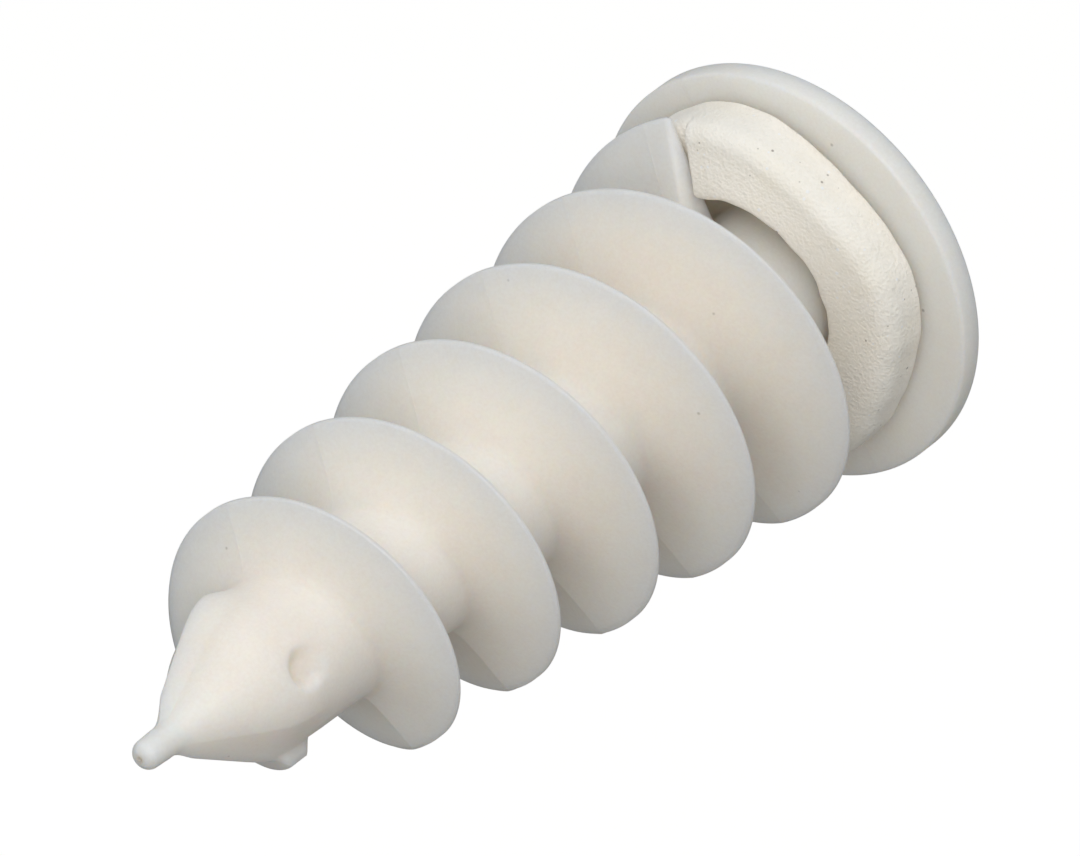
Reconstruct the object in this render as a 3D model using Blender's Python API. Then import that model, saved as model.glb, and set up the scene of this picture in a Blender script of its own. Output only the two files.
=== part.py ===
"""Spiral wall anchor with its foam sealing ring.

The anchor is one plastic moulding: a pointed core with a deep coarse screw thread, a short
neck and a round flange with a drive socket. A soft ring sits loose on the neck.

Frame: +Y runs from the wall face (the underside of the flange) into the wall, +Z is up,
and the origin is the middle of the flange's underside. All lengths are in metres.
"""

import math

import bmesh
import bpy

MM = 0.001

# Overall
COLUMNS = 72                   # points round the body
FLANGE_RADIUS = 12.1 * MM
FLANGE_THICK = 1.5 * MM
FLANGE_EDGE = 0.4 * MM         # rounding of the rim
TIP_END = 53.5 * MM

# Core and neck
CORE_RADIUS = 4.75 * MM        # at the wall face
CORE_TAPER = 0.012             # how much thinner the core gets for each unit of length
NECK_FILLET = 0.7 * MM
THREAD_CUT = 3.5 * MM          # the thread is cut off flat here, so that the neck stays free

# Thread, measured along its turned angle from the start near the tip
PITCH = 7.42 * MM
TURNS = 5.515
THREAD_START = 44.57 * MM      # height of the crest where the thread starts
CREST_RADIUS = 11.63 * MM      # the crest cone's radius at the wall face
CREST_TAPER = 0.0892
START_RADIUS = 5.2 * MM        # crest radius at the very start
GROW_TURNS = 0.5               # the thread is full after this many turns
CREST_LAND = 0.22 * MM         # half the width of the crest
START_LAND = 0.68 * MM
FLANK_SLOPE = 0.277            # axial run of a flank for each unit of its height
START_SLOPE = 0.95
ROOT_FILLET = 0.55 * MM
END_DROP = math.radians(9.0)
START_DROP = math.radians(10.0)

# Mould parting plane, which also sets where the thread starts and ends
PARTING = math.radians(-124.45)

# Tip
GRID_TOP = 46.2 * MM           # above this the rows are plain rings
CONE_END = 51.2 * MM
NIPPLE_RADIUS = 0.85 * MM
CONE_SLOPE = 0.635
BLADE_RAISE = 0.3 * MM         # how far a blade edge stands out of the cone
BLADE_BACK = math.radians(48.0)
BLADE_FRONT = math.radians(22.0)

# Drive socket and screw bore
SOCKET_FLATS = 6.0 * MM
SOCKET_DEPTH = 11.0 * MM       # from the outer face
SOCKET_CHAMFER = 0.5 * MM
BORE_RADIUS = 1.9 * MM
BORE_END_RADIUS = 1.2 * MM
BORE_END = 41.0 * MM

# Sealing ring
RING_RADIUS = 10.1 * MM
RING_HOLE = 6.1 * MM
RING_THICK = 2.8 * MM
RING_REAR = 0.35 * MM          # free gap between the flange and the ring
RING_ROUND = 1.0 * MM
RING_SHIFT = 0.25 * MM         # a loose ring hangs a little off the axis
RING_SHIFT_ANGLE = math.radians(65.0)


def clear_scene():
    for obj in list(bpy.data.objects):
        bpy.data.objects.remove(obj, do_unlink=True)


def plastic_material():
    mat = bpy.data.materials.new("natural_nylon")
    mat.use_nodes = True
    shader = mat.node_tree.nodes["Principled BSDF"]
    shader.inputs["Base Color"].default_value = (0.80, 0.78, 0.73, 1.0)
    shader.inputs["Roughness"].default_value = 0.42
    return mat


def foam_material():
    mat = bpy.data.materials.new("closed_cell_foam")
    mat.use_nodes = True
    shader = mat.node_tree.nodes["Principled BSDF"]
    shader.inputs["Base Color"].default_value = (0.90, 0.89, 0.86, 1.0)
    shader.inputs["Roughness"].default_value = 0.9
    return mat


def core_radius(y):
    """Radius of the core without its thread: a slim taper, then the cone of the tip."""
    cone = NIPPLE_RADIUS + CONE_SLOPE * (CONE_END - y)
    return min(CORE_RADIUS - CORE_TAPER * y, max(cone, NIPPLE_RADIUS))


def facet(angle, y):
    """Factor on the tip's radius that makes its two flat-sided blades in the parting plane."""
    a = (angle - PARTING) % math.pi
    high = 1.0 + BLADE_RAISE / core_radius(y)
    if a > math.pi - BLADE_BACK:
        back = math.pi - a
        span = BLADE_BACK
    elif a < BLADE_FRONT:
        back = a
        span = BLADE_FRONT
    else:
        return 1.0
    bottom = high * math.sin(back) + math.sin(span - back)
    shape = high * math.sin(span) / bottom
    rise = min(max((y - 43.2 * MM) / (2.0 * MM), 0.0), 1.0)
    fall = min(max((CONE_END + 0.4 * MM - y) / (1.0 * MM), 0.0), 1.0)
    return 1.0 + (shape - 1.0) * rise * fall


def crest_height(turned):
    return THREAD_START - PITCH * turned / (2 * math.pi)


def thread_size(turned):
    """(crest radius, half land, flank slope, presence) at a turned angle from the start."""
    end = TURNS * 2 * math.pi
    full = CREST_RADIUS - CREST_TAPER * crest_height(turned)
    grown = min(max(turned / (GROW_TURNS * 2 * math.pi), 0.0), 1.0)
    top = START_RADIUS + (full - START_RADIUS) * math.sin(grown * math.pi / 2)
    land = START_LAND + (CREST_LAND - START_LAND) * grown
    slope = START_SLOPE + (FLANK_SLOPE - START_SLOPE) * min(1.6 * grown, 1.0)
    presence = min((turned + START_DROP) / START_DROP, (end - turned) / END_DROP, 1.0)
    return top, land, slope, max(presence, 0.0)


def thread_radius(turned, y):
    """Radius of one turn's ridge at height y, before it is joined to the core."""
    core = core_radius(y)
    top, land, slope, presence = thread_size(turned)
    height = (top - core) * math.sqrt(presence)
    off = abs(y - crest_height(turned)) - land
    if presence <= 0.0 or height <= 0.0:
        return core
    if off <= 0.0:
        return core + height
    left = height - off / slope
    blend = ROOT_FILLET * 0.5
    if left >= blend:
        return core + left
    reach = (off - slope * (height - blend)) / (slope * blend + ROOT_FILLET)
    return core + blend * max(1.0 - reach, 0.0) ** 2


def body_radius(angle, y):
    turned = (angle - PARTING) % (2 * math.pi)
    radius = core_radius(y) * facet(angle, y)
    for turn in range(-1, 7):
        radius = max(radius, thread_radius(turned + 2 * math.pi * turn, y))
    return radius


def row_offsets(turned):
    """Heights above the crest of the rows that follow one turn of the thread."""
    top, land, slope, presence = thread_size(turned)
    core = core_radius(min(max(crest_height(turned), 0.0), THREAD_START))
    base = land + slope * (top - core)
    half = PITCH / 2
    side = [land, 0.5 * (land + base), base, min(base + ROOT_FILLET, 0.93 * half)]
    return [half] + side[::-1] + [-s for s in side]


def point(radius, angle, y):
    return (radius * math.cos(angle), y, radius * math.sin(angle))


def thread_rows():
    """Rows of points that run along the thread. Each row is one turn long."""
    rows = []
    for turn in range(-2, 8):
        lines = []
        for i in range(COLUMNS):
            turned = 2 * math.pi * (turn + i / COLUMNS)
            angle = PARTING + turned
            column = []
            for offset in row_offsets(turned):
                y = min(max(crest_height(turned) + offset, THREAD_CUT), GRID_TOP)
                column.append(point(body_radius(angle, y), angle, y))
            lines.append(column)
        rows.extend(list(row) for row in zip(*lines))
    return rows


def hex_radius(angle):
    """Distance from the axis to a hexagon's side."""
    a = (angle - PARTING + math.pi / 6) % (math.pi / 3) - math.pi / 6
    return SOCKET_FLATS / 2 / math.cos(a)


def ring_rows(profile):
    """Plain rings from (radius function, y) pairs."""
    rows = []
    for radius_at, y in profile:
        angles = [PARTING + 2 * math.pi * i / COLUMNS for i in range(COLUMNS)]
        rows.append([point(radius_at(a), a, y) for a in angles])
    return rows


def constant(radius):
    return lambda angle: radius


def arc(radius, y, size, start, end, steps):
    """Ring profile that follows a quarter circle about (radius, y)."""
    out = []
    for k in range(steps + 1):
        a = math.radians(start + (end - start) * k / steps)
        out.append((constant(radius + size * math.cos(a)), y + size * math.sin(a)))
    return out


def tip_profile():
    """Rings from the middle of the nipple's end down to the thread's first row."""
    end = NIPPLE_RADIUS * 0.82
    rings = [(constant(0.25 * MM), TIP_END - 0.35 * MM), (constant(0.28 * MM), TIP_END)]
    rings += arc(end - 0.3 * MM, TIP_END - 0.3 * MM, 0.3 * MM, 75, 0, 2)
    for y in (52.0 * MM, 51.4 * MM, CONE_END, 50.2 * MM, 49.0 * MM, 47.8 * MM, 46.8 * MM):
        rings.append((lambda a, y=y: body_radius(a, y) + 0.04 * MM * (y > 51 * MM), y))
    return rings


def flange_profile():
    """Rings from the thread's cut-off over the neck and the flange into the bore."""
    neck = core_radius(THREAD_CUT)
    face = -FLANGE_THICK
    rim = FLANGE_RADIUS - FLANGE_EDGE
    foot = core_radius(0.0)
    rings = [(constant(neck), THREAD_CUT)]
    rings += arc(foot + NECK_FILLET, NECK_FILLET, NECK_FILLET, 180, 270, 3)
    rings += arc(rim, -FLANGE_EDGE, FLANGE_EDGE, 90, 0, 2)
    rings += arc(rim, face + FLANGE_EDGE, FLANGE_EDGE, 0, -90, 2)
    rings.append((lambda a: hex_radius(a) + SOCKET_CHAMFER, face))
    rings.append((hex_radius, face + SOCKET_CHAMFER))
    rings.append((hex_radius, face + SOCKET_DEPTH))
    rings.append((constant(BORE_RADIUS + 0.4 * MM), face + SOCKET_DEPTH))
    rings.append((constant(BORE_RADIUS), face + SOCKET_DEPTH + 0.6 * MM))
    rings.append((constant(BORE_END_RADIUS), BORE_END))
    return rings


def fill_mesh(name, vertices, faces, material):
    """Object from points and faces, with doubled points joined and the faces turned outward."""
    mesh = bpy.data.meshes.new(name)
    mesh.from_pydata(vertices, [], faces)
    work = bmesh.new()
    work.from_mesh(mesh)
    bmesh.ops.remove_doubles(work, verts=work.verts, dist=0.000002)
    bmesh.ops.dissolve_degenerate(work, edges=work.edges, dist=0.000001)
    bmesh.ops.triangulate(work, faces=work.faces)
    bmesh.ops.recalc_face_normals(work, faces=work.faces)
    work.to_mesh(mesh)
    work.free()
    mesh.materials.append(material)
    mesh.shade_smooth()
    obj = bpy.data.objects.new(name, mesh)
    bpy.context.scene.collection.objects.link(obj)
    return obj


def make_body():
    """The whole moulding as one closed skin of rows: tip, thread, neck, flange and bore."""
    vertices, faces = [], []

    def add(rows):
        first = len(vertices)
        for row in rows:
            vertices.extend(row)
        return first

    def quads(upper, lower, shift=0):
        for i in range(COLUMNS):
            j = (i + 1) % COLUMNS
            wrap = shift if j == 0 else 0
            faces.append((upper + i, upper + j + wrap, lower + j + wrap, lower + i))

    tip = ring_rows(tip_profile())
    a = add(tip)
    for k in range(len(tip) - 1):
        quads(a + k * COLUMNS, a + (k + 1) * COLUMNS)
    faces.append(tuple(a + i for i in range(COLUMNS)))

    top = [(lambda angle: body_radius(angle, GRID_TOP), GRID_TOP)]
    b = add(ring_rows(top))
    quads(a + (len(tip) - 1) * COLUMNS, b)

    rows = thread_rows()
    per_turn = len(row_offsets(0.0))
    c = add(rows)
    for k in range(len(rows) - 1 - per_turn):
        quads(c + k * COLUMNS, c + (k + 1) * COLUMNS, per_turn * COLUMNS)

    bottom = [(lambda angle: body_radius(angle, THREAD_CUT), THREAD_CUT)]
    foot = ring_rows(bottom + flange_profile())
    d = add(foot)
    for k in range(len(foot) - 1):
        quads(d + k * COLUMNS, d + (k + 1) * COLUMNS)
    faces.append(tuple(d + (len(foot) - 1) * COLUMNS + i for i in range(COLUMNS)))

    return fill_mesh("anchor_body", vertices, faces, plastic_material())


def make_ring():
    """Soft washer: a rounded oblong section swept round the neck."""
    steps, corner = 60, 5
    inner, outer = RING_HOLE, RING_RADIUS
    centres = (
        (outer - RING_ROUND, RING_REAR + RING_THICK - RING_ROUND, 0),
        (inner + RING_ROUND * 0.5, RING_REAR + RING_THICK - RING_ROUND * 0.5, 90),
        (inner + RING_ROUND * 0.5, RING_REAR + RING_ROUND * 0.5, 180),
        (outer - RING_ROUND, RING_REAR + RING_ROUND, 270),
    )
    section = []
    for radius, y, start in centres:
        size = RING_ROUND if radius > 0.5 * (inner + outer) else RING_ROUND * 0.5
        for k in range(corner):
            a = math.radians(start + 90 * k / (corner - 1))
            section.append((radius + size * math.cos(a), y + size * math.sin(a)))
    shift_x = RING_SHIFT * math.cos(RING_SHIFT_ANGLE)
    shift_z = RING_SHIFT * math.sin(RING_SHIFT_ANGLE)
    vertices, faces = [], []
    count = len(section)
    for i in range(steps):
        angle = 2 * math.pi * i / steps
        for radius, y in section:
            x, y, z = point(radius, angle, y)
            vertices.append((x + shift_x, y, z + shift_z))
    for i in range(steps):
        j = (i + 1) % steps
        for k in range(count):
            m = (k + 1) % count
            faces.append((i * count + k, j * count + k, j * count + m, i * count + m))
    return fill_mesh("sealing_ring", vertices, faces, foam_material())


clear_scene()
make_body()
make_ring()
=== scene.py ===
# %% [markdown]
# # A spiral wall anchor
#
# The real object is one plastic moulding and one soft ring. The moulding has a point, a slim
# core with a deep coarse thread, a short neck and a round flange. The ring sits on the neck
# and seals the hole when the anchor is driven home.
#
# The working model comes first. It is loaded as a fixed frame, and the finished pieces are
# made around it, in metres. +Y runs from the flange towards the point and +Z is up.

# %% Load the frame
import math

import bmesh
import bpy
from mathutils import Matrix, Vector


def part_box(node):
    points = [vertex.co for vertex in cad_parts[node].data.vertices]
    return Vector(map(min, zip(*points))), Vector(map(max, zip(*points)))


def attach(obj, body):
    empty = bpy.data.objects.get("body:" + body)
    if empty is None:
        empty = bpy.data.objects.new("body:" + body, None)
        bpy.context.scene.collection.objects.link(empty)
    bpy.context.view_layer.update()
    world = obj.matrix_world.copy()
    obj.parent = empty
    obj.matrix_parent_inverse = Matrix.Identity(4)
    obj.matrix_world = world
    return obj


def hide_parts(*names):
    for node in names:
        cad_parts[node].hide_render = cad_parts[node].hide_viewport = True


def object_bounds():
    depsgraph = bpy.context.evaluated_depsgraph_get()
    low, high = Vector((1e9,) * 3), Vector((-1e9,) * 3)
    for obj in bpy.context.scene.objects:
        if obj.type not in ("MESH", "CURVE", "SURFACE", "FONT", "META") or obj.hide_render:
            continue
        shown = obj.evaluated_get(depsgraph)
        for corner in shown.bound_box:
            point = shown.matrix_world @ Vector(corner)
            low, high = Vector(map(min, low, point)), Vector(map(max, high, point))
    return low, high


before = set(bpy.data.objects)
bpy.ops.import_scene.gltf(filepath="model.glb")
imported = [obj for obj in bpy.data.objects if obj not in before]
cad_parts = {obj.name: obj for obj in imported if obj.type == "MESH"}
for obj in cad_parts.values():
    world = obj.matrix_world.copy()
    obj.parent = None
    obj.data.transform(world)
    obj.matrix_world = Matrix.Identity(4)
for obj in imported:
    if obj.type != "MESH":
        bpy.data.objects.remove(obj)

MM = 0.001
FULL_TURN = 2 * math.pi

cad_low, cad_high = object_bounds()
print("working model, mm:", [round(v / MM, 2) for v in cad_high - cad_low])

# %% [markdown]
# ## Sizes
#
# A maker would write these on the drawing. The outside sizes are read from the working model
# where it has them: the flange's width, its thickness and the anchor's length. The others
# describe the thread, which no box can give. The thread starts near the point, in the plane
# where the two halves of the mould meet, and gets wider towards the flange. The camera and the
# lights are aimed at the middle of the anchor.

# %% Driving sizes
body_low, body_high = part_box("anchor_body")
FLANGE_RADIUS = body_high.x
FLANGE_THICK = -body_low.y
TIP_END = body_high.y

PITCH = 7.42 * MM
TURNS = 5.536
THREAD_START = 44.57 * MM
THREAD_CUT = 3.5 * MM
PARTING = math.radians(-124.45)

CORE_RADIUS = 4.75 * MM
CORE_TAPER = 0.012
CREST_RADIUS = 11.63 * MM
CREST_TAPER = 0.0892

MIDDLE = Vector((0.0, 25.0 * MM, 0.0))

print("flange across", round(2 * FLANGE_RADIUS / MM, 2), "mm, length", round(TIP_END / MM, 2))
print("thread from", round(THREAD_START / MM, 1), "mm down to", round(THREAD_CUT / MM, 1))

# %% [markdown]
# ## The camera
#
# The anchor is looked at from in front of its point, from above and a little to one side.
# A long lens at 45 cm keeps the far flange nearly as large as the near turns. The camera is
# made before the pieces, because every later choice is judged through it.

# %% Camera
CAMERA_TURN = math.radians(217.835)
CAMERA_RISE = math.radians(35.617)
CAMERA_AWAY = 0.450
CAMERA_LENS = 289.36
AIM_RIGHT = 2.43 * MM
AIM_UP = 3.40 * MM

cam_back = Vector((
    math.sin(CAMERA_TURN) * math.cos(CAMERA_RISE),
    -math.cos(CAMERA_TURN) * math.cos(CAMERA_RISE),
    math.sin(CAMERA_RISE),
))
cam_right = Vector((math.cos(CAMERA_TURN), math.sin(CAMERA_TURN), 0.0))
cam_up = cam_back.cross(cam_right)
aim = MIDDLE + AIM_RIGHT * cam_right + AIM_UP * cam_up

cam_data = bpy.data.cameras.new("camera")
cam_data.lens = CAMERA_LENS
cam_data.clip_start = 0.01
camera = bpy.data.objects.new("camera", cam_data)
bpy.context.scene.collection.objects.link(camera)
turn = Matrix((cam_right, cam_up, cam_back)).transposed().to_4x4()
camera.matrix_world = Matrix.Translation(aim + CAMERA_AWAY * cam_back) @ turn
bpy.context.scene.camera = camera
print("camera at, mm:", [round(v / MM) for v in camera.location])

# %% [markdown]
# ## Sums as nodes
#
# The thread is a main piece whose shape follows a rule, so Geometry Nodes make it. A rule is
# a lot of Math nodes. This small helper lets an ordinary Python sum add them: two numbers
# added with + become one Math node set to Add, and so on.


# %% A helper that turns sums into Math nodes
class Num:
    """A number that flows through the node tree which is being built."""

    tree = None

    def __init__(self, socket):
        self.socket = socket

    @classmethod
    def math(cls, operation, *values):
        node = cls.tree.nodes.new("ShaderNodeMath")
        node.operation = operation
        for socket, value in zip(node.inputs, values):
            if isinstance(value, Num):
                cls.tree.links.new(value.socket, socket)
            else:
                socket.default_value = value
        return cls(node.outputs[0])

    def __add__(self, other):
        return Num.math("ADD", self, other)

    def __sub__(self, other):
        return Num.math("SUBTRACT", self, other)

    def __mul__(self, other):
        return Num.math("MULTIPLY", self, other)

    def __truediv__(self, other):
        return Num.math("DIVIDE", self, other)

    def __rsub__(self, other):
        return Num.math("SUBTRACT", other, self)

    __radd__ = __add__
    __rmul__ = __mul__


def clamp(value, low=0.0, high=1.0):
    return Num.math("MINIMUM", Num.math("MAXIMUM", value, low), high)


def soft_step(value):
    """Rises from 0 to 1 with no corner at either end."""
    x = clamp(value)
    return x * x * (3.0 - 2.0 * x)


def soft_least(a, b, reach):
    """The smaller of two numbers, with a rounded corner where they change over."""
    return Num.math("SMOOTH_MIN", a, b, reach)


def soft_most(a, b, reach):
    """The larger of two numbers, with a rounded corner where they change over."""
    return Num.math("SMOOTH_MAX", a, b, reach)


# %% [markdown]
# ## The node tree's inputs
#
# Every size goes into the tree under its own name, so that the tree can be run with other
# values. The list below gives each input with its value for this anchor.

# %% Named inputs
THREAD_INPUTS = {
    "Points round": 200,
    "Rows per pitch": 40,
    "Pitch": PITCH,
    "Turns": TURNS,
    "Thread start": THREAD_START,
    "Thread cut": THREAD_CUT,
    "Core radius": CORE_RADIUS,
    "Core taper": CORE_TAPER,
    "Crest radius": CREST_RADIUS,
    "Crest taper": CREST_TAPER,
    "Start radius": 5.1 * MM,
    "Grow turns": 0.5,
    "Crest land": 0.07 * MM,
    "Start land": 0.62 * MM,
    "Flank slope": 0.277,
    "Start slope": 0.78,
    "Crest round": 0.15 * MM,
    "Root fillet": 2.9 * MM,
    "Start fillet": 0.35 * MM,
    "Start ramp": math.radians(14.0),
    "End ramp": math.radians(4.2),
    "Sunk": 1.4 * MM,
    "Draft": 0.40 * MM,
    "Draft reach": 0.33,
    "Parting angle": PARTING,
    "Cone foot": 47.6 * MM,
    "Cone end": 51.2 * MM,
    "Cone slope": 0.635,
    "Cone round": 1.3 * MM,
    "Nipple radius": 0.85 * MM,
    "Nipple fillet": 0.5 * MM,
    "Point rows": 44,
    "Point join": 52.0 * MM,
    "Blade raise": 0.3 * MM,
    "Far blade": 1.3,
    "Blade back": math.radians(48.0),
    "Blade front": math.radians(22.0),
    "Dimple turn": math.radians(274.0),
    "Dimple height": 44.6 * MM,
    "Dimple half length": 1.15 * MM,
    "Dimple half width": 1.45 * MM,
    "Dimple depth": 0.95 * MM,
}
INTEGER_INPUTS = ("Points round", "Rows per pitch", "Point rows")


def new_tree(name, inputs):
    """Geometry node tree with these inputs, and (tree, {name: Num})."""
    tree = bpy.data.node_groups.new(name, "GeometryNodeTree")
    for key, value in inputs.items():
        kind = "NodeSocketInt" if key in INTEGER_INPUTS else "NodeSocketFloat"
        socket = tree.interface.new_socket(key, in_out="INPUT", socket_type=kind)
        socket.default_value = value
    tree.interface.new_socket("Finish", in_out="INPUT", socket_type="NodeSocketMaterial")
    tree.interface.new_socket("Geometry", in_out="OUTPUT", socket_type="NodeSocketGeometry")
    entry = tree.nodes.new("NodeGroupInput")
    Num.tree = tree
    return tree, entry, {key: Num(entry.outputs[key]) for key in inputs}


tree, entry, size = new_tree("spiral_body", THREAD_INPUTS)
print("tree inputs:", len(THREAD_INPUTS))

# %% [markdown]
# ## The core's rule
#
# Without its thread the anchor is a slim tapered rod that runs into a cone and ends in a
# little nipple, where the plastic entered the mould. Smooth Minimum and Smooth Maximum join
# the three with soft corners. The cone's sides are pulled out to two straight cutting edges,
# one on each side, in the plane where the mould halves meet: a chord across a slice of a
# circle makes each flat. A shallow dimple marks where a pin held the mould's core.

# %% Radius of the core
BLADE_START = 43.0 * MM
BLADE_RISE = 2.4 * MM
BLADE_PAST_CONE = 0.4 * MM
BLADE_FALL = 1.2 * MM
DIMPLE_FLOOR = 0.62
DIMPLE_WALL = 0.85


def chord(back, span, high):
    """Flat side between an edge that stands out and the round, as a factor on the radius."""
    sine = Num.math("SINE", back)
    rest = Num.math("SINE", span - back)
    return high * Num.math("SINE", span) / (high * sine + rest)


def core_rule(height, turned):
    """Radius at a height, at an angle counted from the parting plane."""
    rod = size["Core radius"] - size["Core taper"] * height
    cone = size["Nipple radius"] + size["Cone slope"] * (size["Cone end"] - height)
    blunt = soft_least(rod, cone, size["Cone round"])
    radius = soft_most(blunt, size["Nipple radius"], size["Nipple fillet"])
    far = 0.5 - 0.5 * Num.math("COSINE", turned)
    high = 1.0 + size["Blade raise"] * (1.0 + size["Far blade"] * far) / radius
    side = Num.math("FLOORED_MODULO", turned, math.pi)
    before = Num.math("MINIMUM", math.pi - side, size["Blade back"])
    after = Num.math("MINIMUM", side, size["Blade front"])
    flats = chord(before, size["Blade back"], high) * chord(after, size["Blade front"], high)
    rise = soft_step((height - BLADE_START) / BLADE_RISE)
    fall = soft_step((size["Cone end"] + BLADE_PAST_CONE - height) / BLADE_FALL)
    return radius * (1.0 + (flats - 1.0) * rise * fall)


def dimple_rule(height, turned):
    """Depth of the dimple. Its floor slopes, so it is deepest next to the point."""
    around = Num.math("FLOORED_MODULO", turned - size["Dimple turn"] + math.pi, FULL_TURN)
    across = (around - math.pi) * size["Core radius"] / size["Dimple half width"]
    along = (height - size["Dimple height"]) / size["Dimple half length"]
    inside = 1.0 - across * across - along * along
    floor = DIMPLE_FLOOR + (1.0 - DIMPLE_FLOOR) * clamp(along, -1.0, 1.0)
    return size["Dimple depth"] * floor * soft_step(inside / DIMPLE_WALL)


# %% [markdown]
# ## The thread's rule
#
# A plain grid round the core would cut the thread's sharp crest into steps. So the grid is
# sheared: each row runs along the thread, like the rows of brick in a spiral stair. The rows
# are close together at the crest and at the root, where the surface bends most.
#
# One strip carries one pitch of rows, from halfway up to the next turn to halfway down to the
# last. It winds round the core from above the point to below the flange, and its edges meet
# themselves one turn later, where Merge by Distance welds them.

# %% Where each point of the strip lies along the core
LEAD_TURNS = 1.0
WOUND_TURNS = 7.1


def strip_counts():
    """(rows of points across the strip, points along it) as sums of the inputs."""
    across = size["Rows per pitch"] + 1.0
    along = Num.math("ROUND", size["Points round"] * WOUND_TURNS) + 1.0
    return across, along


def grid_index(across):
    """(place along, place across) of each point, from its index."""
    index = Num(tree.nodes.new("GeometryNodeInputIndex").outputs[0])
    along = Num.math("FLOOR", (index + 0.5) / across)
    return along, index - along * across


def stretch(part, start, stop):
    """How far part has come from start to stop, from 0 to 1."""
    return clamp((part - start) / (stop - start))


across_count, along_count = strip_counts()
along_place, across_place = grid_index(across_count)
turned = (along_place / size["Points round"] - LEAD_TURNS) * FULL_TURN
crest = size["Thread start"] - size["Pitch"] * turned / FULL_TURN

# %% [markdown]
# The thread starts low and narrow at one blade, and is full after half a turn. Its flanks
# lean about 15 degrees. A moulded thread is a little thicker where the mould halves meet,
# because each half needs its sides to open outwards. That makes a crease on every flank,
# twice a turn, and "Draft" is how much thicker it is. One of the two creases is the stronger.

# %% Size of the ridge along the thread
SLOPE_SETTLES = 1.6
CREASE_MEAN = 0.65
CREASE_SWING = 0.35

grown = clamp(turned / (size["Grow turns"] * FULL_TURN))
full_radius = size["Crest radius"] - size["Crest taper"] * crest
swell = Num.math("SINE", grown * (math.pi / 2))
top = size["Start radius"] + (full_radius - size["Start radius"]) * swell
settled = clamp(SLOPE_SETTLES * grown)
slope = size["Start slope"] + (size["Flank slope"] - size["Start slope"]) * settled
seam_away = Num.math("ABSOLUTE", Num.math("SINE", turned))
which_seam = CREASE_MEAN + CREASE_SWING * Num.math("COSINE", turned)
cusp = Num.math("EXPONENT", 0.0 - seam_away / size["Draft reach"])
draft = size["Draft"] * which_seam * cusp * grown
land = size["Start land"] + (size["Crest land"] - size["Start land"]) * grown + draft
rod_here = size["Core radius"] - size["Core taper"] * clamp(crest, 0.0, THREAD_START)
ridge_height = top - rod_here
base = land + slope * ridge_height
half = size["Pitch"] / 2.0

# %% [markdown]
# The rows' places are set in five stretches on each side of the crest: the crest itself, its
# rounded edge, the flank, the root's fillet and the bare core.

# %% Places of the rows across the strip
LAND_SHARE = 0.75
CORNER_SHARE = 0.22
BARE_SHARE = 0.35
STRETCH_ENDS = (0.08, 0.33, 0.50, 0.85, 1.0)

part = across_place / size["Rows per pitch"]
away = Num.math("ABSOLUTE", 2.0 * part - 1.0)
side = Num.math("SIGN", 0.5 - part)
flank_run = base - land
edge = land + CORNER_SHARE * flank_run
foot = base - CORNER_SHARE * flank_run
bare = base + BARE_SHARE * (half - base)
places = (LAND_SHARE * land, edge, foot, bare, half)
offset = places[0] * stretch(away, 0.0, STRETCH_ENDS[0])
for k in range(1, len(places)):
    run = places[k] - places[k - 1]
    offset = offset + run * stretch(away, STRETCH_ENDS[k - 1], STRETCH_ENDS[k])
height = clamp(crest + side * offset, size["Thread cut"], size["Cone foot"])

# %% [markdown]
# The ridge is a flat crest with a straight flank on each side. Near both ends "presence"
# lets it sink into the core. The crest's corners and the root are rounded by the two smooth
# operations.

# %% Radius of the strip
fillet = size["Start fillet"] + (size["Root fillet"] - size["Start fillet"]) * grown
coming = (turned + size["Start ramp"]) / size["Start ramp"]
going = (size["Turns"] * FULL_TURN - turned) / size["End ramp"]
presence = soft_step(Num.math("MINIMUM", coming, going))
sunk = fillet + size["Sunk"]
crown = rod_here + (ridge_height + sunk) * presence - sunk
flank = crown - Num.math("MAXIMUM", offset - land, 0.0) / slope
ridge = soft_least(crown, flank, size["Crest round"])
plain = core_rule(height, turned) - dimple_rule(height, turned)
radius = soft_most(plain, ridge, fillet)


# %% [markdown]
# A second, plain grid carries the cone from where the strip ends up to the nipple. It obeys
# the same core rule, so the two meet without a step.

# %% Put both grids in place
def node(kind):
    return tree.nodes.new(kind)


def placed_grid(along, across, radius, angle, height):
    """Grid of along by across points, moved to these places round the Y axis."""
    grid = node("GeometryNodeMeshGrid")
    tree.links.new(along.socket, grid.inputs["Vertices X"])
    tree.links.new(across.socket, grid.inputs["Vertices Y"])
    place = node("ShaderNodeCombineXYZ")
    coordinates = (
        radius * Num.math("COSINE", angle),
        height,
        radius * Num.math("SINE", angle),
    )
    for socket, number in zip(place.inputs, coordinates):
        tree.links.new(number.socket, socket)
    move = node("GeometryNodeSetPosition")
    tree.links.new(grid.outputs["Mesh"], move.inputs["Geometry"])
    tree.links.new(place.outputs[0], move.inputs["Position"])
    return move.outputs["Geometry"]


strip_angle = turned + size["Parting angle"]
strip = placed_grid(along_count, across_count, radius, strip_angle, height)

cone_across = size["Point rows"] + 1.0
cone_along = size["Points round"] + 1.0
cone_place, cone_row = grid_index(cone_across)
cone_turned = cone_place / size["Points round"] * FULL_TURN
cone_span = size["Point join"] - size["Cone foot"]
cone_height = size["Cone foot"] + cone_span * cone_row / size["Point rows"]
cone_radius = core_rule(cone_height, cone_turned) - dimple_rule(cone_height, cone_turned)
cone_angle = cone_turned + size["Parting angle"]
cone = placed_grid(cone_along, cone_across, cone_radius, cone_angle, cone_height)

# %% [markdown]
# The tree ends the usual way: the two grids are joined, Merge by Distance welds the edges that
# lie on each other, and the finish comes in as an input like the sizes.

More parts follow.
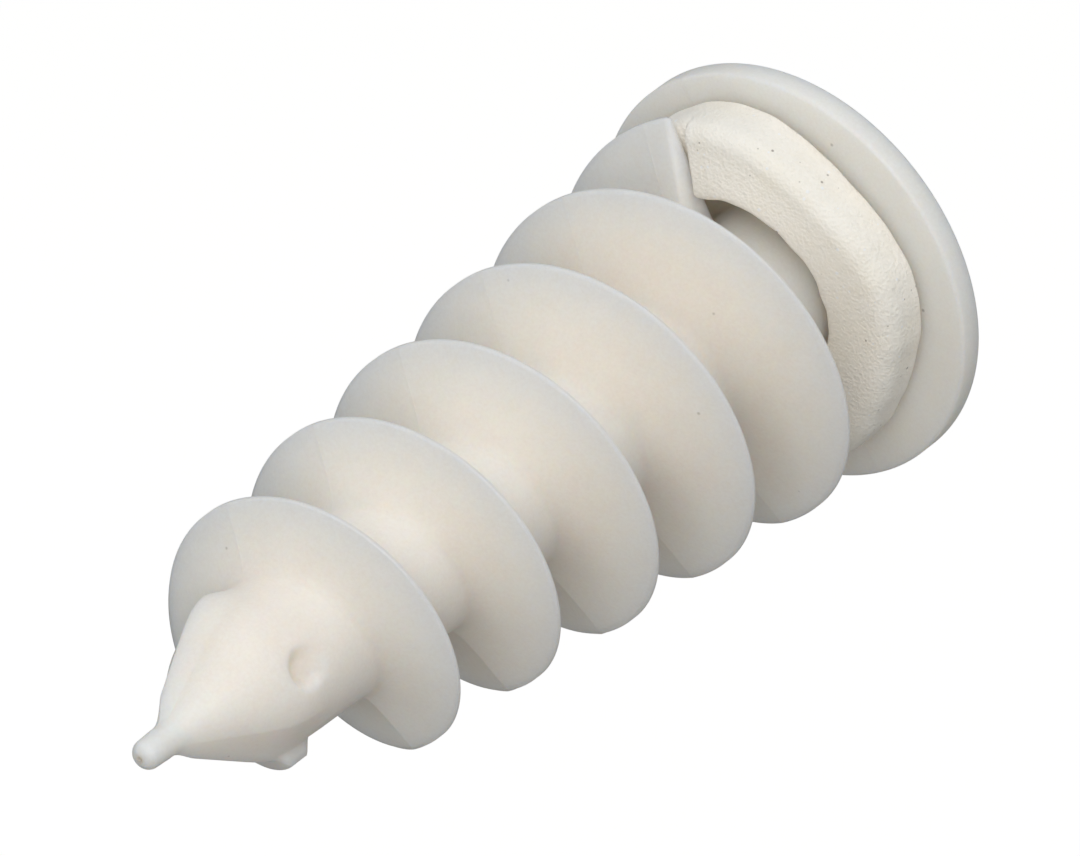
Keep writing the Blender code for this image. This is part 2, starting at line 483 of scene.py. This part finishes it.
# %% Weld, set the finish and close the tree
WELD = 2e-6
join = node("GeometryNodeJoinGeometry")
tree.links.new(cone, join.inputs[0])
tree.links.new(strip, join.inputs[0])
weld = node("GeometryNodeMergeByDistance")
weld.inputs["Distance"].default_value = WELD
tree.links.new(join.outputs[0], weld.inputs["Geometry"])
realize = node("GeometryNodeRealizeInstances")
tree.links.new(weld.outputs[0], realize.inputs[0])
finish = node("GeometryNodeSetMaterial")
tree.links.new(realize.outputs[0], finish.inputs["Geometry"])
tree.links.new(entry.outputs["Finish"], finish.inputs["Material"])
leave = node("NodeGroupOutput")
tree.links.new(finish.outputs[0], leave.inputs[0])
print("nodes in the tree:", len(tree.nodes))

# %% [markdown]
# ## Materials
#
# Two finishes are needed: undyed nylon for the moulding and white closed-cell foam for the
# ring. Both have tiny dark specks of dust and a slow drift of tone, so these two effects are
# node groups that each material uses with its own values. Object coordinates keep a pattern
# fixed to its piece.


# %% Shared effects as node groups
SPECK_LEAST = 0.45
SPECK_RIM = 0.08
DRIFT_FINER = 6.0
DRIFT_LARGE = 1.4
DRIFT_SMALL = 0.6


def new_group(name, inputs, output):
    """Shader group with a Vector input, these number inputs and one number output."""
    group = bpy.data.node_groups.new(name, "ShaderNodeTree")
    group.interface.new_socket("Vector", in_out="INPUT", socket_type="NodeSocketVector")
    for key, value in inputs.items():
        socket = group.interface.new_socket(
            key, in_out="INPUT", socket_type="NodeSocketFloat")
        socket.default_value = value
    group.interface.new_socket(output, in_out="OUTPUT", socket_type="NodeSocketFloat")
    return group, group.nodes.new("NodeGroupInput"), group.nodes.new("NodeGroupOutput")


def noise(group, vector, scale, detail, rough=0.5):
    made = group.nodes.new("ShaderNodeTexNoise")
    made.inputs["Scale"].default_value = scale
    made.inputs["Detail"].default_value = detail
    made.inputs["Roughness"].default_value = rough
    group.links.new(vector, made.inputs["Vector"])
    return made


def speck_group():
    """Mask of rare round specks. Density is the share of cells that hold one."""
    values = {"Scale": 900.0, "Density": 0.03, "Size": 0.2}
    group, come, go = new_group("specks", values, "Mask")
    Num.tree = group
    cells = group.nodes.new("ShaderNodeTexVoronoi")
    group.links.new(come.outputs["Vector"], cells.inputs["Vector"])
    group.links.new(come.outputs["Scale"], cells.inputs["Scale"])
    split = group.nodes.new("ShaderNodeSeparateColor")
    group.links.new(cells.outputs["Color"], split.inputs[0])
    chosen = Num.math("LESS_THAN", Num(split.outputs[0]), Num(come.outputs["Density"]))
    share = SPECK_LEAST + (1.0 - SPECK_LEAST) * Num(split.outputs[1])
    reach = Num(come.outputs["Size"]) * share
    near = clamp((reach - Num(cells.outputs["Distance"])) / SPECK_RIM)
    group.links.new((chosen * near).socket, go.inputs["Mask"])
    return group


def drift_group():
    """Slow change of tone over the surface, about 0, and a finer one on top."""
    group, come, go = new_group("tone_drift", {"Scale": 120.0, "Amount": 0.05}, "Tone")
    Num.tree = group
    large = noise(group, come.outputs["Vector"], 1.0, 3.0)
    small = noise(group, come.outputs["Vector"], 1.0, 2.0, 0.6)
    group.links.new(come.outputs["Scale"], large.inputs["Scale"])
    finer = Num(come.outputs["Scale"]) * DRIFT_FINER
    group.links.new(finer.socket, small.inputs["Scale"])
    slow = (Num(large.outputs[0]) - 0.5) * DRIFT_LARGE
    quick = (Num(small.outputs[0]) - 0.5) * DRIFT_SMALL
    tone = (slow + quick) * Num(come.outputs["Amount"])
    group.links.new(tone.socket, go.inputs["Tone"])
    return group


# The speck mask gives the dust on both finishes and the foam's painted highlights.
specks = speck_group()
drift = drift_group()
print("shared groups:", specks.name, drift.name)


# %% [markdown]
# Four small tools keep the two materials short. They start a material with its Object
# coordinates, use a shared group, mix two colours by a factor, and turn heights into a bump.

# %% Tools for building a material
def new_material(name):
    made = bpy.data.materials.new(name)
    made.use_nodes = True
    nodes = made.node_tree.nodes
    where = nodes.new("ShaderNodeTexCoord").outputs["Object"]
    return made, made.node_tree, nodes["Principled BSDF"], where


def use_group(group_tree, group, vector, **values):
    made = group_tree.nodes.new("ShaderNodeGroup")
    made.node_tree = group
    group_tree.links.new(vector, made.inputs["Vector"])
    for key, value in values.items():
        made.inputs[key].default_value = value
    return Num(made.outputs[0])


def mix_colours(group_tree, factor, first, second):
    made = group_tree.nodes.new("ShaderNodeMix")
    made.data_type = "RGBA"
    group_tree.links.new(factor.socket, made.inputs["Factor"])
    for socket, value in (("A", first), ("B", second)):
        slot = [s for s in made.inputs if s.name == socket and s.type == "RGBA"][0]
        if isinstance(value, tuple):
            slot.default_value = (*value, 1.0)
        else:
            group_tree.links.new(value, slot)
    return [s for s in made.outputs if s.type == "RGBA"][0]


def bump(group_tree, heights, distance):
    made = group_tree.nodes.new("ShaderNodeBump")
    made.inputs["Distance"].default_value = distance
    made.inputs["Strength"].default_value = 1.0
    group_tree.links.new(heights.socket, made.inputs["Height"])
    return made.outputs["Normal"]


# %% [markdown]
# ### Undyed nylon
#
# Natural nylon is a warm grey-white and lets some light in, so it gets subsurface scattering
# a few millimetres deep: thin crests glow a little. The mould left a fine matt grain, soft
# ripples, and a thin witness line where its two halves met. The line is a bump in the parting
# plane, so it runs over thread, cone and flange alike. A small brown mark on the nipple's end
# shows where the plastic came in.

# %% Nylon material
NYLON_PALE = (0.915, 0.87, 0.81)
NYLON_DEEP = (0.86, 0.80, 0.735)
SPECK_BROWN = (0.20, 0.17, 0.14)
GATE_BROWN = (0.42, 0.33, 0.24)
GATE_REACH = 0.22 * MM
GATE_DARK = 0.75
SPECK_DARK = 0.8
DEEP_SHARE = 0.35
GRAIN_SCALE = 5200.0
GRAIN_TONE = 1.6
GRAIN_HEIGHT = 0.25
RIPPLE_SCALE = 420.0
RIPPLE_HEIGHT = 1.3
WITNESS_HEIGHT = 0.9
WITNESS_REACH = 0.07 * MM
NYLON_BUMP = 0.02 * MM
NYLON_ROUGHNESS = (0.40, 0.16)
NYLON_GLOW = 0.9
NYLON_GLOW_RADIUS = (1.0, 0.80, 0.60)
NYLON_GLOW_DEPTH = 3.4 * MM
NYLON_IOR = 1.52
NYLON_GLOSS = 0.38


def make_nylon():
    made, nodes_tree, shader, where = new_material("undyed nylon")
    Num.tree = nodes_tree
    grain = Num(noise(nodes_tree, where, GRAIN_SCALE, 3.0, 0.6).outputs[0])
    tone = use_group(nodes_tree, drift, where, Scale=110.0, Amount=1.2)
    shade = tone + DEEP_SHARE + (grain - 0.5) * GRAIN_TONE
    colour = mix_colours(nodes_tree, shade, NYLON_PALE, NYLON_DEEP)
    dust = use_group(nodes_tree, specks, where, Scale=520.0, Density=0.35, Size=0.07)
    colour = mix_colours(nodes_tree, dust * SPECK_DARK, colour, SPECK_BROWN)
    parts = nodes_tree.nodes.new("ShaderNodeSeparateXYZ")
    nodes_tree.links.new(where, parts.inputs[0])
    x, y, z = (Num(parts.outputs[axis]) for axis in "XYZ")
    up = y - TIP_END
    gate = Num.math("EXPONENT", 0.0 - (x * x + z * z + up * up) / GATE_REACH ** 2)
    colour = mix_colours(nodes_tree, gate * GATE_DARK, colour, GATE_BROWN)
    nodes_tree.links.new(colour, shader.inputs["Base Color"])

    ripple = Num(noise(nodes_tree, where, RIPPLE_SCALE, 2.0).outputs[0])
    off_plane = x * math.sin(PARTING) - z * math.cos(PARTING)
    witness = Num.math("EXPONENT", 0.0 - off_plane * off_plane / WITNESS_REACH ** 2)
    heights = grain * GRAIN_HEIGHT + ripple * RIPPLE_HEIGHT + witness * WITNESS_HEIGHT
    nodes_tree.links.new(bump(nodes_tree, heights, NYLON_BUMP), shader.inputs["Normal"])
    smooth, matt = NYLON_ROUGHNESS
    nodes_tree.links.new((smooth + matt * grain).socket, shader.inputs["Roughness"])

    shader.inputs["Subsurface Weight"].default_value = NYLON_GLOW
    shader.inputs["Subsurface Radius"].default_value = NYLON_GLOW_RADIUS
    shader.inputs["Subsurface Scale"].default_value = NYLON_GLOW_DEPTH
    shader.inputs["IOR"].default_value = NYLON_IOR
    shader.inputs["Specular IOR Level"].default_value = NYLON_GLOSS
    return made


nylon = make_nylon()
print("material:", nylon.name)

# %% [markdown]
# ### Closed-cell foam
#
# The ring is punched from a sheet of white foam. Its surface shows fine cells as tiny pits,
# bumped in and painted darker as painted shade in the hollows, with painted highlights as
# white flecks where a cell wall would catch the light, and a few dark specks of dust. Two
# sizes of cell keep the pattern from looking like wallpaper.

# %% Foam material
FOAM_PALE = (0.985, 0.945, 0.865)
FOAM_DEEP_AND_SHADE = (0.94, 0.87, 0.75)
GLINT_WHITE = (0.98, 0.98, 0.97)
CELL_SCALE = 4600.0
FINE_CELL_SCALE = 7200.0
PIT_EDGE = 0.42
PIT_SLOPE = 1.6
PIT_PAINTED_SHADE = 0.45
FOAM_TONE = 0.1
GLINT_STRENGTH = 0.9
FOAM_SPECK_DARK = 0.75
FINE_HEIGHT = 0.5
FOAM_BUMP = 0.045 * MM
FOAM_ROUGHNESS = (0.72, 0.25)
FOAM_GLOW = 0.3
FOAM_GLOW_RADIUS = (1.0, 0.95, 0.9)
FOAM_GLOW_DEPTH = 0.9 * MM


def foam_cells(nodes_tree, where, scale):
    made = nodes_tree.nodes.new("ShaderNodeTexVoronoi")
    made.inputs["Scale"].default_value = scale
    nodes_tree.links.new(where, made.inputs["Vector"])
    return Num(made.outputs["Distance"])


def make_foam():
    made, nodes_tree, shader, where = new_material("closed cell foam")
    Num.tree = nodes_tree
    coarse = foam_cells(nodes_tree, where, CELL_SCALE)
    fine = foam_cells(nodes_tree, where, FINE_CELL_SCALE)
    tone = use_group(nodes_tree, drift, where, Scale=240.0, Amount=1.0)
    # Painted shade: the pits' hollows are coloured darker, as if shade lay in them.
    pit_painted_shade = clamp((PIT_EDGE - coarse) * PIT_SLOPE)
    shade = pit_painted_shade * PIT_PAINTED_SHADE + tone + FOAM_TONE
    # The darker colour carries both the slow drift of tone and the pits' painted shade.
    colour = mix_colours(nodes_tree, shade, FOAM_PALE, FOAM_DEEP_AND_SHADE)
    # Painted highlights: white flecks where a cell wall would catch the light.
    painted_glints = use_group(nodes_tree, specks, where, Scale=2600.0, Density=0.10, Size=0.34)
    colour = mix_colours(nodes_tree, painted_glints * GLINT_STRENGTH, colour, GLINT_WHITE)
    dust = use_group(nodes_tree, specks, where, Scale=1500.0, Density=0.3, Size=0.17)
    colour = mix_colours(nodes_tree, dust * FOAM_SPECK_DARK, colour, SPECK_BROWN)
    nodes_tree.links.new(colour, shader.inputs["Base Color"])
    heights = coarse + FINE_HEIGHT * fine
    nodes_tree.links.new(bump(nodes_tree, heights, FOAM_BUMP), shader.inputs["Normal"])
    smooth, matt = FOAM_ROUGHNESS
    nodes_tree.links.new((smooth + matt * fine).socket, shader.inputs["Roughness"])
    shader.inputs["Subsurface Weight"].default_value = FOAM_GLOW
    shader.inputs["Subsurface Radius"].default_value = FOAM_GLOW_RADIUS
    shader.inputs["Subsurface Scale"].default_value = FOAM_GLOW_DEPTH
    return made


foam = make_foam()
print("material:", foam.name)

# %% [markdown]
# ## Run the tree
#
# The tree hangs on an empty mesh as a modifier. Each input is set by its socket's identifier.
# The evaluated result is then copied to a plain mesh, and the modifier goes.

# %% Make the threaded core
def run_tree(node_tree, values, material):
    """Plain mesh from the node tree with these input values."""
    holder = bpy.data.objects.new("holder", bpy.data.meshes.new("holder"))
    bpy.context.scene.collection.objects.link(holder)
    modifier = holder.modifiers.new("rule", "NODES")
    modifier.node_group = node_tree
    for item in node_tree.interface.items_tree:
        if item.in_out == "INPUT":
            value = material if item.name == "Finish" else values[item.name]
            modifier[item.identifier] = value
    graph = bpy.context.evaluated_depsgraph_get()
    mesh = bpy.data.meshes.new_from_object(holder.evaluated_get(graph))
    holder.modifiers.remove(modifier)
    bpy.data.objects.remove(holder, do_unlink=True)
    return mesh


core_mesh = run_tree(tree, THREAD_INPUTS, nylon)
print("threaded core:", len(core_mesh.vertices), "points,", len(core_mesh.polygons), "faces")

# %% [markdown]
# ## Both ends of the moulding
#
# The nipple, the flange and the socket are turned shapes: rings of points about the Y axis.
# Their first ring falls on the threaded core's open edge and is welded to it, so the whole
# moulding is one skin. The socket is a hexagon with a lead-in and a screw bore below it. It
# takes a driver bit, and its round-cornered outline is worked out from the distance across
# its flats.

# %% Ring profiles
ROUND = THREAD_INPUTS["Points round"]
NIPPLE = THREAD_INPUTS["Nipple radius"]
NIPPLE_DRAFT = 0.95
NIPPLE_ROUND = 0.60 * MM
GATE_PIT = ((0.15 * MM, 0.01 * MM), (0.11 * MM, 0.06 * MM), (0.05 * MM, 0.12 * MM))

NECK_MIDDLE = 2.6 * MM
NECK_FILLET = 0.9 * MM
FLANGE_EDGE = 0.22 * MM
FLANGE_MIDDLE = 8.0 * MM
RIM_BAND = 0.3 * MM
SOCKET_FACE = 5.0 * MM

SOCKET_FLATS = 6.0 * MM
SOCKET_CORNER = 3.3 * MM
SOCKET_DEPTH = 11.0 * MM
SOCKET_LEAD = ((0.62 * MM, 0.0), (0.52 * MM, 0.03 * MM), (0.05 * MM, 0.45 * MM))
SOCKET_LEAD_END = 0.6 * MM
SOCKET_FOOT = 0.15 * MM
BORE_RADIUS = 1.9 * MM
BORE_LEAD = 0.4 * MM
BORE_LEAD_END = 0.6 * MM
BORE_END_RADIUS = 1.2 * MM
BORE_END = 41.0 * MM
BORE_POINT = (0.3 * MM, 0.5 * MM)


def hexagon(extra=0.0):
    """Radius of a hexagon with clipped corners, grown by extra, as a rule on the angle."""
    def radius(angle):
        side = (angle - PARTING + math.pi / 6) % (math.pi / 3) - math.pi / 6
        return min(SOCKET_FLATS / 2 / math.cos(side), SOCKET_CORNER) + extra
    return radius


def arc(radius, height, reach, start, stop, steps=8):
    """Part of a circle about (radius, height) in the profile, angles in degrees."""
    points = []
    for k in range(steps + 1):
        a = math.radians(start + (stop - start) * k / steps)
        points.append((radius + reach * math.cos(a), height + reach * math.sin(a)))
    return points


def nipple_rows():
    end = NIPPLE * NIPPLE_DRAFT
    low = TIP_END - NIPPLE_ROUND
    rows = [(NIPPLE, THREAD_INPUTS["Point join"]), (end, low)]
    rows += arc(end - NIPPLE_ROUND, low, NIPPLE_ROUND, 8, 88)
    return rows + [(radius, TIP_END - deep) for radius, deep in GATE_PIT]


def flange_rows():
    rim = FLANGE_RADIUS - FLANGE_EDGE
    face = -FLANGE_THICK
    foot = face + SOCKET_DEPTH
    rows = [(CORE_RADIUS - CORE_TAPER * THREAD_CUT, THREAD_CUT), (CORE_RADIUS, NECK_MIDDLE)]
    rows += arc(CORE_RADIUS + NECK_FILLET, NECK_FILLET, NECK_FILLET, 184, 270)
    rows += [(FLANGE_MIDDLE, 0.0), (rim - RIM_BAND, 0.0)]
    rows += arc(rim, -FLANGE_EDGE, FLANGE_EDGE, 88, 2)
    rows += arc(rim, face + FLANGE_EDGE, FLANGE_EDGE, -2, -88)
    rows += [(rim - RIM_BAND, face), (SOCKET_FACE, face)]
    rows += [(hexagon(extra), face + deep) for extra, deep in SOCKET_LEAD]
    rows += [(hexagon(), face + SOCKET_LEAD_END), (hexagon(), foot - SOCKET_FOOT)]
    rows += [(hexagon(-SOCKET_FOOT), foot), (BORE_RADIUS + BORE_LEAD, foot)]
    rows += [(BORE_RADIUS, foot + BORE_LEAD_END), (BORE_END_RADIUS, BORE_END)]
    return rows + [(BORE_POINT[0], BORE_END + BORE_POINT[1])]


print("rows at the nipple:", len(nipple_rows()), "at the flange:", len(flange_rows()))

# %% [markdown]
# A row is a radius and a height, and the radius is either one number or a rule on the angle.
# The rows become rings of points, each ring is joined to the next, and the last one is closed
# with a single face. Welding the first ring to the core leaves no open edge.

# %% Weld the ends to the core
def add_rings(work, rows):
    """Adds a turned shape to the mesh and closes its last ring."""
    rings = []
    for radius, height_at in rows:
        ring = []
        for i in range(ROUND):
            angle = PARTING + FULL_TURN * i / ROUND
            out = radius(angle) if callable(radius) else radius
            place = (out * math.cos(angle), height_at, out * math.sin(angle))
            ring.append(work.verts.new(place))
        rings.append(ring)
    for first, second in zip(rings, rings[1:]):
        for i in range(ROUND):
            j = (i + 1) % ROUND
            work.faces.new((first[i], first[j], second[j], second[i]))
    work.faces.new(rings[-1])


def weld_and_turn_out(work):
    """Joins points that lie on each other and turns every face outwards."""
    bmesh.ops.remove_doubles(work, verts=work.verts, dist=WELD)
    bmesh.ops.dissolve_degenerate(work, edges=work.edges, dist=WELD / 4)
    bmesh.ops.recalc_face_normals(work, faces=work.faces)
    if work.calc_volume(signed=True) < 0:
        bmesh.ops.reverse_faces(work, faces=work.faces)


def open_edges(work):
    return sum(1 for e in work.edges if not e.is_manifold)


def finish_piece(work, name, material):
    """Object at the origin from the edited mesh, shaded smooth."""
    mesh = bpy.data.meshes.new(name)
    work.to_mesh(mesh)
    work.free()
    mesh.materials.append(material)
    mesh.shade_smooth()
    piece = bpy.data.objects.new(name, mesh)
    bpy.context.scene.collection.objects.link(piece)
    return piece


work = bmesh.new()
work.from_mesh(core_mesh)
add_rings(work, nipple_rows())
add_rings(work, flange_rows())
weld_and_turn_out(work)
print("open edges left:", open_edges(work), "volume, cm3:", round(work.calc_volume() * 1e6, 2))
anchor = finish_piece(work, "spiral_anchor", nylon)
print("moulding:", len(anchor.data.polygons), "faces")

# %% [markdown]
# ## The sealing ring
#
# A punched foam washer is never quite round. Its faces are flat, but the cut edges are soft
# and wander a little. It is made as a rounded section swept round the neck, whose inner and
# outer radius follow a few slow waves.

# %% Ring sizes, the outside ones from the working model
ring_low, ring_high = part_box("sealing_ring")
RING_REAR = ring_low.y
RING_FRONT = ring_high.y
RING_ACROSS = ring_high.z - ring_low.z
RING_HOLE = 5.6 * MM
OUTER_MEAN = 10.1 * MM
OUTER_ROUND = 1.15 * MM
REAR_ROUND = 0.25 * MM
INNER_ROUND = 0.40 * MM
RING_STEPS = 600
SWELL_HEIGHT = 0.68 * MM
SWELL_LEAN = 1.0
SWELL_OPEN = 0.6
SWELL_START = math.radians(66.8)
SWELL_TWIST = math.radians(1.4)
SWELL_RISE = math.radians(1.2)
SWELL_RUN = math.radians(110.0)
FRONT_STEPS = (0.83, 0.67, 0.50, 0.33, 0.17)
REAR_STEPS = (0.25, 0.5, 0.75)
ring_thick = RING_FRONT - RING_REAR
print("ring, mm:", round(RING_ACROSS / MM, 2), "across,", round(ring_thick / MM, 2), "thick")

# %% [markdown]
# A few slow waves give the ring's edges their wander, and small quick ones their raggedness.
# Each wave is written as how many times it goes round, its size and the place of its first
# peak. The thread ends right beside the ring. There the foam stands up against the cut end,
# and sinks back within a third of a turn.

# %% Sweep the ring
OUTER_WAVES = (
    (1, 0.45 * MM, 12.0),
    (2, 0.15 * MM, 75.0),
    (3, 0.07 * MM, 48.0),
    (4, 0.16 * MM, -19.0),
    (5, 0.13 * MM, 10.0),
    (17, 0.02 * MM, 5.0),
    (29, 0.015 * MM, 2.0),
)
INNER_WAVES = (
    (1, 0.55 * MM, 85.0),
    (2, 0.32 * MM, 75.0),
    (9, 0.04 * MM, 15.0),
    (14, 0.035 * MM, 8.0),
    (23, 0.025 * MM, 3.0),
)


def waves(angle, table):
    """Sum of waves, each (times round, size, place of its first peak in degrees)."""
    return sum(a * math.cos(n * (angle - math.radians(p))) for n, a, p in table)


def corner(radius, height, reach, start):
    return arc(radius, height, reach, start, start + 90, steps=7)


def swelling(angle):
    """How far the foam stands up at this angle."""
    past = (angle - SWELL_START) % FULL_TURN
    rise = min(past / SWELL_RISE, 1.0)
    fall = max(0.0, 1.0 - past / SWELL_RUN)
    return SWELL_HEIGHT * rise * rise * (3 - 2 * rise) * fall * fall * (3 - 2 * fall)


def ring_section(inner, outer, swell):
    """Closed outline of the ring's cut face. The swelling is higher next to the hole."""
    front = RING_FRONT + swell
    near = front + SWELL_LEAN * swell
    flat_in = inner + INNER_ROUND
    flat_out = outer - OUTER_ROUND
    flat = flat_out - flat_in
    section = corner(flat_out, front - OUTER_ROUND, OUTER_ROUND, 0)
    section += [(flat_in + flat * t, near + (front - near) * t) for t in FRONT_STEPS]
    section += corner(flat_in, near - INNER_ROUND, INNER_ROUND, 90)
    section += corner(flat_in, RING_REAR + INNER_ROUND, INNER_ROUND, 180)
    section += [(flat_in + flat * t, RING_REAR) for t in REAR_STEPS]
    section += corner(outer - REAR_ROUND, RING_REAR + REAR_ROUND, REAR_ROUND, 270)
    return section


def make_ring():
    work = bmesh.new()
    loops = []
    for i in range(RING_STEPS):
        angle = FULL_TURN * i / RING_STEPS
        outer = OUTER_MEAN + waves(angle, OUTER_WAVES)
        swell = swelling(angle)
        inner = RING_HOLE + waves(angle, INNER_WAVES) + SWELL_OPEN * swell
        loop = []
        for r, y in ring_section(inner, outer, swell):
            turned_by = angle + SWELL_TWIST * (outer - r) / (outer - inner)
            place = (r * math.cos(turned_by), y, r * math.sin(turned_by))
            loop.append(work.verts.new(place))
        loops.append(loop)
    for i, loop in enumerate(loops):
        after = loops[(i + 1) % RING_STEPS]
        for k in range(len(loop)):
            m = (k + 1) % len(loop)
            work.faces.new((loop[k], after[k], after[m], loop[m]))
    weld_and_turn_out(work)
    print("ring's open edges:", open_edges(work))
    return finish_piece(work, "foam_ring", foam)


ring = make_ring()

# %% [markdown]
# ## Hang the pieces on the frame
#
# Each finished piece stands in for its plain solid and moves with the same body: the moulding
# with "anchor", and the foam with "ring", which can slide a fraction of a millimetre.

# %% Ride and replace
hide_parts("anchor_body")
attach(anchor, "anchor")
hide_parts("sealing_ring")
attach(ring, "ring")

# %% [markdown]
# ## Floor and light
#
# The floor is a plain pale sheet well below the anchor, so that no shadow crosses the view.
# The camera sees it glow white, but its glow doesn't light the anchor.

# %% Floor
FLOOR_DROP = 0.09
FLOOR_SIZE = 3.0
FLOOR_GLOW = 0.80
FLOOR_COLOUR = (0.27, 0.265, 0.255, 1.0)
FLOOR_ROUGHNESS = 0.9
WHITE = (1.0, 1.0, 1.0, 1.0)


def make_floor():
    half_size = FLOOR_SIZE / 2
    corners = [(-1, -1), (1, -1), (1, 1), (-1, 1)]
    level = cad_low.z - FLOOR_DROP
    points = [(x * half_size, y * half_size, level) for x, y in corners]
    mesh = bpy.data.meshes.new("floor")
    mesh.from_pydata(points, [], [(0, 1, 2, 3)])
    material, nodes_tree, shader, _ = new_material("pale floor")
    shader.inputs["Base Color"].default_value = FLOOR_COLOUR
    shader.inputs["Roughness"].default_value = FLOOR_ROUGHNESS
    shader.inputs["Emission Color"].default_value = WHITE
    seen = nodes_tree.nodes.new("ShaderNodeLightPath")
    Num.tree = nodes_tree
    glow = Num(seen.outputs["Is Camera Ray"]) * FLOOR_GLOW
    nodes_tree.links.new(glow.socket, shader.inputs["Emission Strength"])
    mesh.materials.append(material)
    floor = bpy.data.objects.new("floor", mesh)
    bpy.context.scene.collection.objects.link(floor)
    return floor


make_floor()

# %% [markdown]
# A broad soft light stands just over the camera, and a weaker and broader one overhead. The
# world fills the rest with a faint cool light, and the camera sees it as nearly white.

# %% Lights
WARM = (1.0, 0.963, 0.93)
KEY_WAY = Vector((-0.45, 0.62, 0.64)).normalized()
KEY_AWAY = 0.9
KEY_SIZE = 0.60
KEY_WATTS = 3.7
TOP_WAY = Vector((0.0, 0.0, 1.0))
TOP_AWAY = 1.0
TOP_SIZE = 0.8
TOP_WATTS = 2.8
SKY_COLOUR = (0.89, 0.95, 1.0, 1.0)
SKY_LIGHT = 0.40
SKY_SEEN = 1.0


def soft_light(name, place, size_m, watts):
    """Square area light that faces the middle of the anchor."""
    data = bpy.data.lights.new(name, "AREA")
    data.size = size_m
    data.energy = watts
    data.color = WARM
    light = bpy.data.objects.new(name, data)
    light.location = place
    light.rotation_mode = "QUATERNION"
    light.rotation_quaternion = (MIDDLE - place).to_track_quat("-Z", "Y")
    bpy.context.scene.collection.objects.link(light)


soft_light("key", MIDDLE + KEY_AWAY * KEY_WAY, KEY_SIZE, KEY_WATTS)
soft_light("overhead", MIDDLE + TOP_AWAY * TOP_WAY, TOP_SIZE, TOP_WATTS)

world = bpy.data.worlds.new("white room")
bpy.context.scene.world = world
world.use_nodes = True
sky = world.node_tree.nodes["Background"]
sky.inputs["Color"].default_value = SKY_COLOUR
Num.tree = world.node_tree
seen = Num(world.node_tree.nodes.new("ShaderNodeLightPath").outputs["Is Camera Ray"])
strength = SKY_LIGHT + (SKY_SEEN - SKY_LIGHT) * seen
world.node_tree.links.new(strength.socket, sky.inputs["Strength"])
bpy.context.scene.view_settings.view_transform = "Standard"
print("lights:", len(bpy.data.lights), "and the world")
